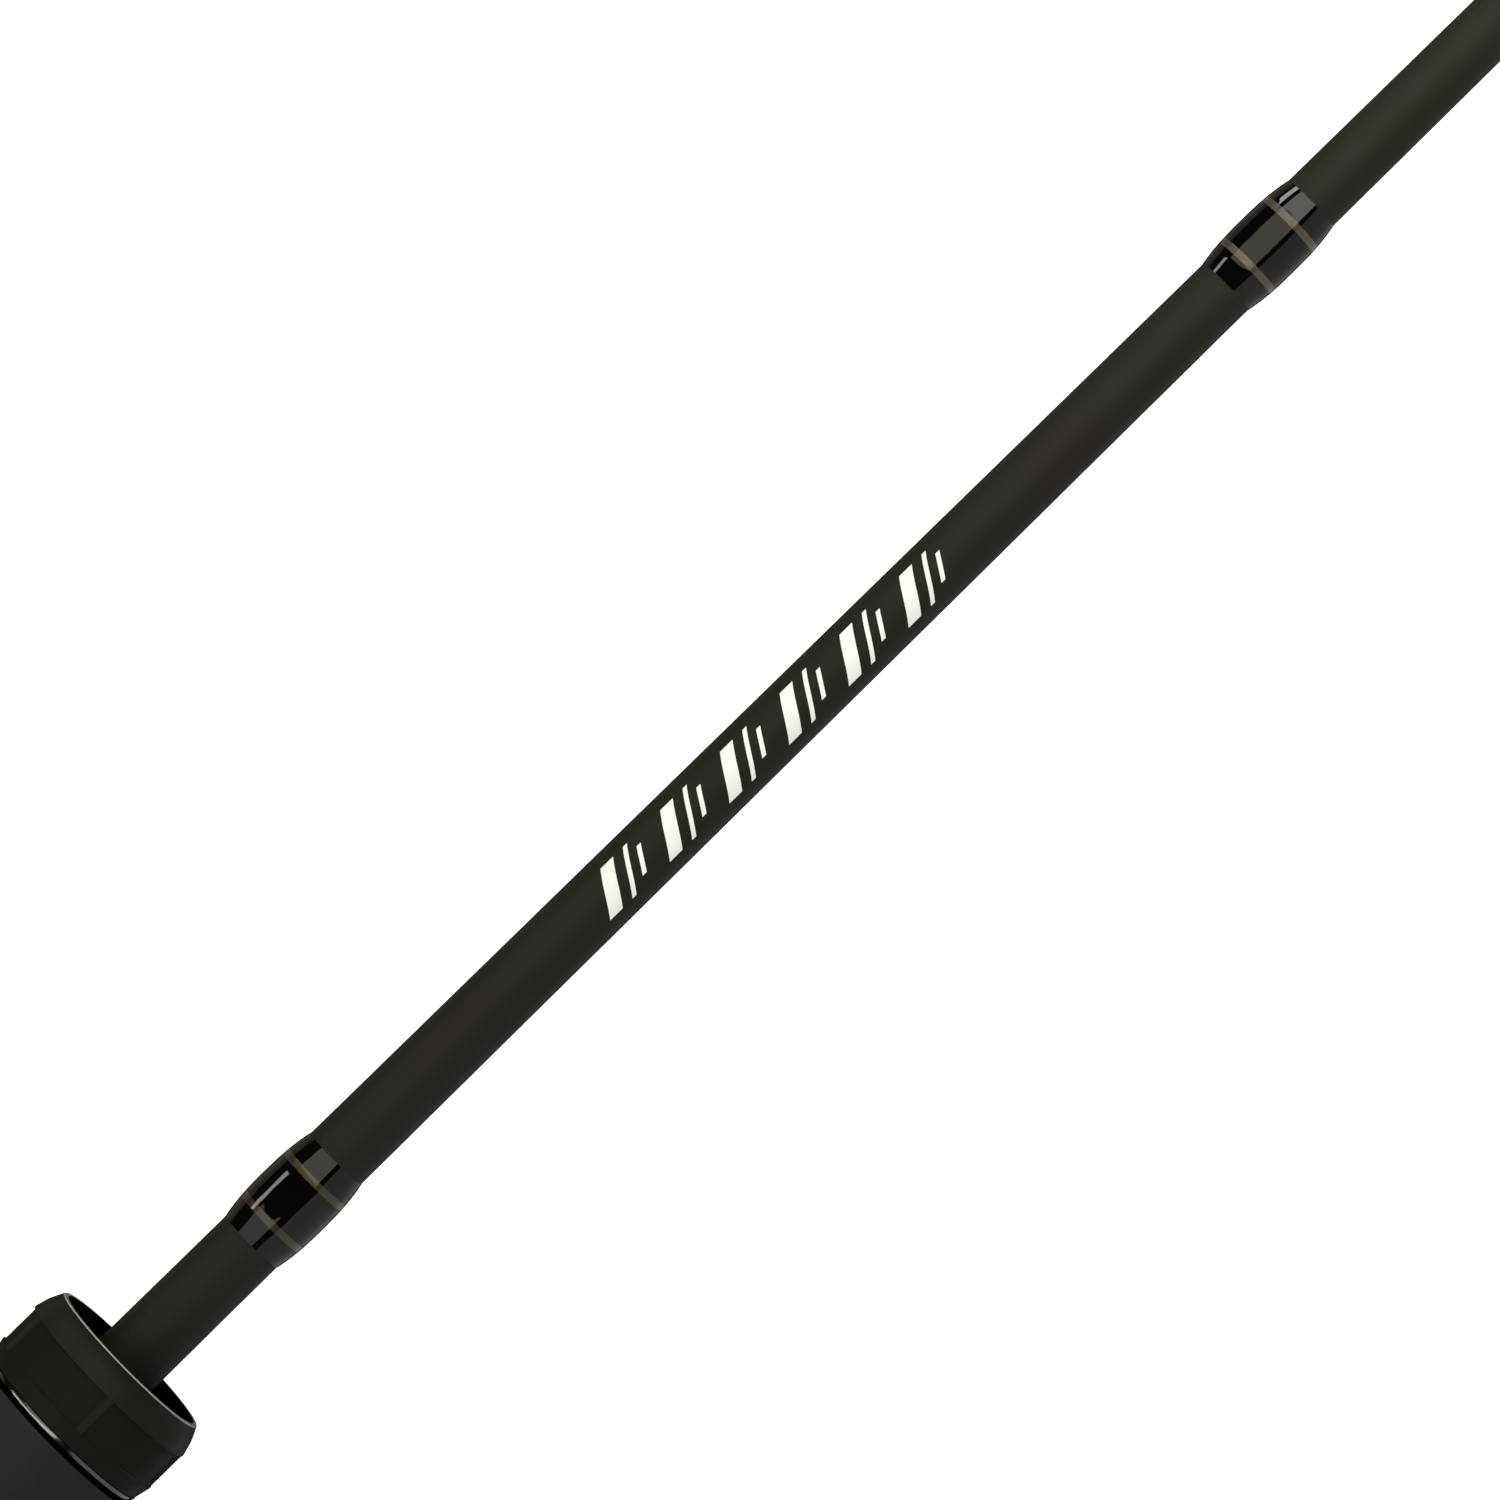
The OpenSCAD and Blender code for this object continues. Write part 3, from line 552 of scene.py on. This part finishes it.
def build_wrap(name, x0, length, height, body, replaced, bands=(), band_nodes=(), base=blank_r, depth=0.22,
               lacquer=None, thread=None):
    """One lacquered thread wrap and the trim bands let flush into it."""
    surface = wrap_surface(x0, length, height, base)
    outline = [(x0, base(x0) + WRAP_GAP)]
    cuts = sorted((at - BAND_W / 2, at + BAND_W / 2) for at in bands)
    start = x0
    for low, high in cuts:
        outline += [(x, surface(x)) for x in stations(start, low, 0.4)]
        outline += [(low, surface(low) - depth), (high, surface(high) - depth)]
        start = high
    outline += [(x, surface(x)) for x in stations(start, x0 + length, 0.4)]
    outline.append((x0 + length, base(x0 + length) + WRAP_GAP))
    lathe(name, outline, lacquer or WRAP, body, replaced, segments=128, sharp=50)
    if not bands:
        return
    bm = bmesh.new()
    for low, high in cuts:
        part = bmesh.new()
        xs = stations(low, high, 0.2)
        turn_profile(part, [(low, surface(low) - depth + 0.01)] + [(x, surface(x) + 0.005) for x in xs]
                     + [(high, surface(high) - depth + 0.01)], 128)
        add_mesh(bm, part)
    finish_piece(bm, name + "_trim_bands", thread or BAND, body, band_nodes, 50)


def socket_r(x):
    """Outside radius of the ferrule socket at x."""
    s0 = blank_r(SOCKET_START) + SOCKET_GAP + SOCKET_WALL
    s1 = blank_r(MALE_END) + SOCKET_GAP + SOCKET_WALL
    return s0 + (s1 - s0) * (x - SOCKET_START) / (MALE_END + 4 - SOCKET_START)


def build_wraps():
    for node, x0, height, lacquer, thread in (("keeper", KEEPER_START, KEEPER_H, UNEVEN_WRAP, SHADED_BAND),
                                              ("label", LABEL_START, LABEL_H, WRAP, BAND)):
        bands = (x0 + BAND_IN, x0 + WRAP_LEN - BAND_IN)
        build_wrap(node + "_thread", x0, WRAP_LEN, height, BUTT, [node + "_wrap"], bands, [node + "_bands"],
                   lacquer=lacquer, thread=thread)
    ferrule_bands = (SOCKET_START + 5, SOCKET_START + 33)
    build_wrap("ferrule_thread", SOCKET_START, 38, 0.45, TIP, ["ferrule_wrap"], ferrule_bands,
               ["ferrule_bands"], socket_r, 0.16)
    build_wrap("tip_top_thread", TIP_TUBE_START - 7, 6.95, 0.45, TIP, ["tip_top_wrap"])


def build_mark():
    """A generic painted mark: slanted thick and thin strokes on the lettered side of the blank."""
    first, pitch, count = 576.2, 11.9, 6
    slant, half = 0.62, 3.35
    paint_gap, paint_depth = 0.012, 0.02
    strokes = ((0.0, 2.5, half), (3.6, 0.8, half), (6.0, 0.8, half * 0.55))
    bm = bmesh.new()
    for i in range(count):
        for offset, width, reach in strokes:
            part = bmesh.new()
            bmesh.ops.create_grid(part, x_segments=2, y_segments=16, size=0.5)
            bmesh.ops.scale(part, vec=(width, 2 * reach, 1), verts=part.verts)
            shear = Matrix.Identity(4)
            shear[0][1] = slant
            bmesh.ops.transform(part, matrix=shear, verts=part.verts)
            bmesh.ops.translate(part, vec=(first + i * pitch + offset, 0, 0), verts=part.verts)
            add_mesh(bm, part)
    bmesh.ops.solidify(bm, geom=bm.faces, thickness=paint_depth)
    for v in bm.verts:
        r = blank_r(v.co.x) + paint_gap + v.co.z
        angle = v.co.y / blank_r(v.co.x)
        v.co = Vector((v.co.x, r * math.sin(angle), r * math.cos(angle)))
    finish_piece(bm, "painted_mark", PAINT, BUTT, [])


# ---- lock nut and sliding hood ----


def build_nut():
    """Lock nut with sunk finger pads and a coned nose, and the bright ring behind it."""
    pads_rear, pads_front = NUT_FRONT - 10.8, NUT_FRONT - 4.4
    nut_rear, nut_r, mouth_r = 466.55, 15.05, 12.5
    cone_start, cone_mid = (NUT_FRONT - 4.3, nut_r), (NUT_FRONT - 2.2, 14.48)
    outline = [(nut_rear, 13.28), (nut_rear, 14.35), (nut_rear + 0.15, 14.5), (pads_rear - 0.1, nut_r),
               (pads_rear, nut_r), (pads_front, nut_r), cone_start, cone_mid, (NUT_FRONT - 0.15, 13.5),
               (NUT_FRONT, 13.35), (NUT_FRONT, 12.7), (NUT_FRONT - 0.4, mouth_r), (474.3, mouth_r),
               (473.2, SCREW_BORE), (470.0, SCREW_BORE), (469.7, 13.9), (467.7, 13.9), (467.5, 13.28)]
    bm = bmesh.new()
    turn_profile(bm, outline, 180)
    pad_slot, rim_highlight_slot, mouth_shade_slot = 1, 2, 3
    pads, ridge_deg, first_pad_deg = 5, 4, 27
    pad_angle = math.radians(360 / pads - ridge_deg)
    for i in range(pads):
        low = math.radians(first_pad_deg + 360 / pads * i)
        pad = []
        for face in bm.faces:
            c = face.calc_center_median()
            angle = (math.atan2(c.z, c.y) - low) % FULL_TURN
            if pads_rear < c.x < pads_front and math.hypot(c.y, c.z) > 14.5 and angle < pad_angle:
                pad.append(face)
        bmesh.ops.inset_region(bm, faces=pad, thickness=0.22, depth=-0.3, use_even_offset=True)
        for face in pad:
            face.material_index = pad_slot
    bore_r = mouth_r + 0.1
    # faces inside the nut's mouth and screw bore get the near-black painted shade
    for face in bm.faces:
        c = face.calc_center_median()
        r = math.hypot(c.y, c.z)
        # the faces of the front rim get the painted highlight
        if c.x > NUT_FRONT - 0.2 and r > bore_r:
            face.material_index = rim_highlight_slot
        elif r < bore_r:
            face.material_index = mouth_shade_slot
        elif c.x < pads_rear:
            face.material_index = pad_slot
    round_corners(bm, [(*cone_start, 0.25), (*cone_mid, 0.3)])
    finish_piece(bm, "lock_nut_body", [NUT_SKIN, PAD_SKIN, RIM_PAINTED_HIGHLIGHT, PAINTED_SHADE], NUT, ["lock_nut"], 25)
    ring_rear, ring_front = (465.62, 14.27), (466.52, 14.6)
    lathe("nut_bright_ring", [(ring_rear[0], 13.3), ring_rear, ring_front, (ring_front[0], 13.3)], RING_TRIM,
          NUT, ["nut_trim_ring"], [(*ring_rear, 0.05), (*ring_front, 0.05)], 40)


# ---- reel seat ----


def carved(bm, tool, how="DIFFERENCE"):
    """Cuts one closed shape out of another, or joins them, and gives the result."""
    pair = []
    for shape in (bm, tool):
        mesh = bpy.data.meshes.new("blank_stock")
        bmesh.ops.recalc_face_normals(shape, faces=shape.faces)
        shape.to_mesh(mesh)
        shape.free()
        pair.append(bpy.data.objects.new("blank_stock", mesh))
        bpy.context.scene.collection.objects.link(pair[-1])
    cut = pair[0].modifiers.new("cut", "BOOLEAN")
    cut.operation = how
    cut.solver = "EXACT"
    cut.object = pair[1]
    result = bmesh.new()
    result.from_object(pair[0], bpy.context.evaluated_depsgraph_get())
    for obj in pair:
        mesh = obj.data
        bpy.data.objects.remove(obj)
        bpy.data.meshes.remove(mesh)
    bmesh.ops.remove_doubles(result, verts=result.verts, dist=MERGE_DIST)
    return result


def box_shape(low, high):
    """Block between two opposite corners."""
    bm = bmesh.new()
    bmesh.ops.create_cube(bm, size=1.0)
    bmesh.ops.scale(bm, vec=[b - a for a, b in zip(low, high)], verts=bm.verts)
    bmesh.ops.translate(bm, vec=[(a + b) / 2 for a, b in zip(low, high)], verts=bm.verts)
    return bm


def beyond_bed(x0, x1, bed):
    """Block that takes in all there is on the guide side of the bed plane."""
    return box_shape((x0, -40, -40), (x1, -bed, 40))


def pocket_shape(x0, x1, bed):
    """Room under a hood: the part of a disc that lies beyond the bed plane."""
    bm = bmesh.new()
    turn_profile(bm, [(x0, 0), (x0, POCKET_R), (x1, POCKET_R), (x1, 0)], 160)
    return carved(bm, beyond_bed(x0 - 1, x1 + 1, bed), "INTERSECT")


def thread_shape(x0, x1, core, crest, pitch):
    """Helical ridge of the barrel's thread."""
    bm = bmesh.new()
    root, top = pitch * 0.44, pitch * 0.2
    section = ((-root, core - 0.1), (-top, crest), (top, crest), (root, core - 0.1))
    verts = [bm.verts.new((x0 + dx, r, 0)) for dx, r in section]
    face = bm.faces.new(verts)
    turns = (x1 - x0) / pitch
    steps = round(turns * 60)
    bmesh.ops.spin(bm, geom=[face] + face.edges[:] + verts, cent=(0, 0, 0), axis=(1, 0, 0),
                   dvec=((x1 - x0) / steps, 0, 0), angle=turns * FULL_TURN, steps=steps)
    bmesh.ops.holes_fill(bm, edges=bm.edges)
    return bm


def build_seat():
    """Seat body: fixed hood, foot bed, keyway and the threaded barrel."""
    core, crest, pitch = 11.35, 11.8, 2.0
    hood_front, cut_start, bed_end = 392, 391.99, 456
    bm = bmesh.new()
    turn_profile(bm, [(SEAT_START, 7.0), (SEAT_START, 14.5), (355, SEAT_R), (391, SEAT_R), (hood_front, 14.8),
                      (hood_front, crest), (419.5, crest), (420, core), (472, core), (472.4, 11.7),
                      (473.4, 11.7), (SEAT_END, 11.2), (SEAT_END, 7.0)], 160)
    round_corners(bm, [(355, SEAT_R, 0.8), (391, SEAT_R, 0.3)])
    bm = carved(bm, thread_shape(421, 471, core, crest, pitch), "UNION")
    bm = carved(bm, pocket_shape(380, 393, HOOD_RELIEF))
    bm = carved(bm, beyond_bed(cut_start, bed_end, BED))
    bm = carved(bm, beyond_bed(cut_start, 393, HOOD_RELIEF))
    bm = carved(bm, beyond_bed(439, bed_end, HOOD_RELIEF))
    bm = carved(bm, box_shape((398, 10.8, -2.0), (475, 17, 2.0)))
    finish_piece(bm, "seat_barrel_and_fixed_hood", SEAT, BUTT, ["seat_body"], 28)


def build_hood():
    """Sliding hood with its foot pocket and key. Its front face behind the nut carries painted shade."""
    rear, skirt, front, face_edge = 440, 464.6, 465.6, 465.12
    bm = bmesh.new()
    turn_profile(bm, [(rear, SCREW_BORE), (rear, 14.6), (441.2, SEAT_R), (skirt, SEAT_R), (465.1, 14.85),
                      (front, 14.6), (front, 13.2), (467.8, 13.2), (468.0, 13.75), (469.0, 13.75),
                      (469.4, 13.4), (469.4, SCREW_BORE)], 160)
    round_corners(bm, [(441.2, SEAT_R, 0.4), (rear, 14.6, 0.3), (skirt, SEAT_R, 0.3)])
    bm = carved(bm, pocket_shape(439, 454, BED))
    bm = carved(bm, box_shape((445, 10.9, -1.9), (463.6, 12.78, 1.9)), "UNION")
    # painted shade on the hood's front face, behind the nut
    shade_slot = 1
    for face in bm.faces:
        c = face.calc_center_median()
        if c.x > face_edge and math.hypot(c.y, c.z) > 13.5:
            face.material_index = shade_slot
    finish_piece(bm, "sliding_hood_shell", [SEAT, PAINTED_SHADE], HOOD, ["sliding_hood"], 28)


# ---- guides ----

# ring plane x, centre height over the blank, ceramic bore, ceramic outside and holder radius, wire radius,
# foot length, foot half width, foot thickness, reach of the legs along the blank
GUIDES = [
    (915, 28, 9.75, 11.3, 12.5, 0.9, 15, 1.5, 0.9, 13),
    (1250, 18, 5.9, 7.2, 8.1, 0.7, 12, 1.2, 0.8, 9),
    (1465, 10.5, 3.6, 4.6, 5.2, 0.5, 10, 0.9, 0.6, 5.5),
    (1630, 8, 2.8, 3.65, 4.2, 0.45, 9, 0.8, 0.5, 4.5),
    (1765, 7, 2.4, 3.2, 3.7, 0.42, 8, 0.75, 0.45, 4),
    (1880, 6.3, 2.05, 2.75, 3.25, 0.4, 8, 0.7, 0.4, 3.6),
]


def add_wire(bm, points, radius):
    """Round wire bent smoothly through a few points."""
    curve = bpy.data.curves.new("wire", "CURVE")
    curve.dimensions = "3D"
    curve.bevel_depth = radius
    curve.bevel_resolution = 4
    curve.resolution_u = 6
    curve.use_fill_caps = True
    spline = curve.splines.new("BEZIER")
    spline.bezier_points.add(len(points) - 1)
    for knot, place in zip(spline.bezier_points, points):
        knot.co = place
        knot.handle_left_type = knot.handle_right_type = "AUTO"
    obj = bpy.data.objects.new("wire", curve)
    bpy.context.scene.collection.objects.link(obj)
    bpy.context.view_layer.update()
    mesh = obj.to_mesh()
    part = bmesh.new()
    part.from_mesh(mesh)
    obj.to_mesh_clear()
    bpy.data.objects.remove(obj)
    bpy.data.curves.remove(curve)
    bmesh.ops.remove_doubles(part, verts=part.verts, dist=MERGE_DIST)
    bmesh.ops.recalc_face_normals(part, faces=part.faces)
    add_mesh(bm, part)


def add_ring(bm, x, y, inner, outer, width, soft):
    """Turned ring round a guide's opening."""
    half = width / 2
    part = bmesh.new()
    turn_profile(part, [(-half, inner), (-half, outer), (half, outer), (half, inner)], 72)
    round_corners(part, [(-half, outer, soft), (half, outer, soft)])
    bmesh.ops.translate(part, vec=(x, y, 0), verts=part.verts)
    add_mesh(bm, part)


def add_foot(bm, start, end, top, half_width, thickness):
    """Flat foot on the blank, ground to a thin edge at its outer end."""
    low, high = min(start, end), max(start, end)
    part = box_shape((low, -top - thickness, -half_width), (high, -top, half_width))
    lengthwise = [e for e in part.edges if abs(e.verts[0].co.x - e.verts[1].co.x) > NEAR]
    bmesh.ops.subdivide_edges(part, edges=lengthwise, cuts=8)
    for v in part.verts:
        along = abs(v.co.x - start) / (high - low)
        if v.co.y < -top - NEAR:
            v.co.y = -top - thickness * (1 - FOOT_TAPER * along)
        v.co.z *= 1 - 0.35 * along ** 2
    long_edges = []
    for e in part.edges:
        a, b = e.verts[0].co, e.verts[1].co
        if max(a.y, b.y) < -top - NEAR and abs(a.z - b.z) < 0.3 and abs(a.z) > half_width * 0.5:
            long_edges.append(e)
    soften(part, long_edges, thickness * 0.3)
    add_mesh(bm, part)


def build_guide(number, sizes):
    """One line guide: feet, legs and holder as one frame, its ceramic ring, and its foot wraps."""
    x, height, bore, seat, holder, wire, foot_len, foot_half, foot_t, reach = sizes
    name = "guide_%d" % number
    body = BUTT if number == 1 else TIP
    two_footed = number < 3
    y = -(blank_r(x) + height)
    width = 1.2 + holder * 0.07
    bm = bmesh.new()
    add_ring(bm, x, y, seat, holder, width, 0.3)
    for way, splay_deg in ((-1, 62), (1, 24)) if two_footed else ((1, 50),):
        root = x + way * reach
        inner = root - way * 3 * wire
        foot_end = root + way * foot_len
        top = blank_r(min(inner, foot_end)) + FOOT_GAP
        add_foot(bm, inner, foot_end, blank_r(min(root, foot_end)) + FOOT_GAP, foot_half, foot_t)
        mid = (seat + holder) / 2 + 0.1
        for side in (-1, 1):
            a = math.radians(splay_deg)
            low = Vector((root - way * 1.2 * wire, -top - foot_t * 0.6, side * (foot_half - wire * 0.6)))
            high = Vector((x, y + mid * math.cos(a), side * mid * math.sin(a)))
            knee = low.lerp(high, 0.12) + Vector((way * 0.5 * wire, -0.4 * wire, 0))
            add_wire(bm, [low, knee, low.lerp(high, 0.55), high], wire)
    finish_piece(bm, name + "_wire_frame", STEEL, body, [name + "_frame"], 40)
    half = width / 2 + 0.15
    edge = seat - 0.02
    ring = [(-half * 0.45, bore + 0.05), (-half * 0.85, bore + 0.3), (-half, bore + 0.6), (-half, edge),
            (half, edge), (half, bore + 0.6), (half * 0.85, bore + 0.3), (half * 0.45, bore + 0.05),
            (0, bore)]
    lathe(name + "_ceramic", ring, CERAMIC, body, [name + "_ring"],
          [(-half, edge, 0.1), (half, edge, 0.1)], 96, (x, y, 0), 50)
    for way, end in ((-1, "_wrap_rear"), (1, "_wrap_front")) if two_footed else ((1, "_wrap"),):
        a, b = x + way * (reach + 0.6), x + way * (reach + foot_len + 4)
        build_foot_wrap(name + end, min(a, b), max(a, b), x + way * reach, way, sizes, body)


def build_foot_wrap(node, x0, x1, root, way, sizes, body):
    """Thread wrap over a guide foot: round the blank, and raised where it climbs over the foot."""
    foot_len, foot_half, foot_t = sizes[6:9]
    surface = wrap_surface(x0, x1 - x0, 0.3)
    outline = [(x0, blank_r(x0) + WRAP_GAP)] + [(x, surface(x)) for x in stations(x0, x1, 0.3)]
    outline.append((x1, blank_r(x1) + WRAP_GAP))
    bm = bmesh.new()
    turn_profile(bm, outline, 96)
    for v in bm.verts:
        r = math.hypot(v.co.y, v.co.z)
        if r < blank_r(v.co.x) + WRAP_GAP + 0.01 or v.co.y > 0:
            continue
        along = (v.co.x - root) * way / foot_len
        fade = 1 if along < 1 else max(0.0, 1 - (along - 1) * foot_len / 2.5)
        rise = foot_t * (1 - FOOT_TAPER * max(0.0, along)) * fade
        spread = max(0.0, 1 - (abs(v.co.z) / (foot_half * 2.1)) ** 3)
        grown = r + rise * spread
        v.co.y, v.co.z = v.co.y * grown / r, v.co.z * grown / r
    finish_piece(bm, node.replace("wrap", "thread"), WRAP, body, [node], 50)


def build_tip_top():
    """Tube over the blank's end, with three legs that hold the last ceramic ring."""
    x, y = 1979.2, -4.6
    tube_bore, tube_r, tube_end, tube_floor = blank_r(TIP_TUBE_START) + 0.03, 1.4, 1969.2, 1968.05
    bm = bmesh.new()
    part = bmesh.new()
    tube = [(TIP_TUBE_START, tube_bore), (TIP_TUBE_START, tube_r), (tube_end, tube_r), (1970, 0.9), (1970, 0),
            (tube_floor, 0), (tube_floor, tube_bore)]
    turn_profile(part, tube, 48)
    round_corners(part, [(TIP_TUBE_START, tube_r, 0.15), (tube_end, tube_r, 0.3)])
    add_mesh(bm, part)
    add_ring(bm, x, y, 2.4, 3.0, 1.6, 0.2)
    leg_r, leg_angle = 2.95, math.radians(78)
    for side in (-1, 1):
        low = Vector((1959, -1.1, side * 0.9))
        high = Vector((x - 0.1, y + leg_r * math.cos(leg_angle), side * leg_r * math.sin(leg_angle)))
        add_wire(bm, [low, low.lerp(high, 0.3) + Vector((0, -0.15, 0)), high], 0.4)
    low, high = Vector((1968.6, -0.2, 0)), Vector((x - 0.1, y + 3.0, 0))
    add_wire(bm, [low, low.lerp(high, 0.5), high], 0.45)
    finish_piece(bm, "tip_top_fitting", STEEL, TIP, ["tip_top_frame"], 40)
    ring = [(-0.4, 1.85), (-0.7, 2.05), (-0.75, 2.38), (0.75, 2.38), (0.7, 2.05), (0.4, 1.85), (0, 1.8)]
    lathe("tip_top_ceramic", ring, CERAMIC, TIP, ["tip_top_ring"], (), 72, (x, y, 0), 50)


def build_hook_keeper():
    """Bent loop whose foot is bound under the keeper wrap."""
    base = blank_r(KEEPER_START) + 0.04
    wrap_end = KEEPER_START + WRAP_LEN
    bm = box_shape((KEEPER_START + 9, -1.1, -base - 0.4), (wrap_end + 4.4, 1.1, -base))
    soften(bm, [e for e in bm.edges if all(v.co.z < -base - 0.2 for v in e.verts)], 0.15, 2)
    loop = bmesh.new()
    bmesh.ops.create_circle(loop, segments=20, radius=0.5)
    bmesh.ops.translate(loop, vec=(2.3, 0, 0), verts=loop.verts)
    bmesh.ops.spin(loop, geom=loop.verts[:] + loop.edges[:], cent=(0, 0, 0), axis=(0, 1, 0), angle=FULL_TURN,
                   steps=56, use_merge=True)
    bmesh.ops.remove_doubles(loop, verts=loop.verts, dist=MERGE_DIST)
    bmesh.ops.recalc_face_normals(loop, faces=loop.faces)
    bmesh.ops.translate(loop, vec=(wrap_end + 4.2, 0, -base - 2.9), verts=loop.verts)
    add_mesh(bm, loop)
    finish_piece(bm, "hook_keeper_loop", STEEL, BUTT, ["hook_keeper"], 40)


def dress_cad():
    """Finishes for the frame parts whose own shape is right."""
    wear = {"fixed_hood_liner": LINER, "sliding_hood_liner": LINER, "balance_weight": TRIM,
            "ferrule_plug": SEAT, "seat_arbor_rear": FOAM, "seat_arbor_front": FOAM}
    for name, mat in wear.items():
        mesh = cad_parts[name].data
        if not mesh.materials:
            mesh.materials.append(mat)
        for i in range(len(mesh.materials)):
            mesh.materials[i] = mat


build_handle()
build_blanks()
build_wraps()
build_mark()
build_nut()
build_seat()
build_hood()
for number, sizes in enumerate(GUIDES, 1):
    build_guide(number, sizes)
build_tip_top()
build_hook_keeper()
dress_cad()

bpy.context.scene.view_settings.view_transform = "Standard"
bpy.context.scene.view_settings.look = "None"
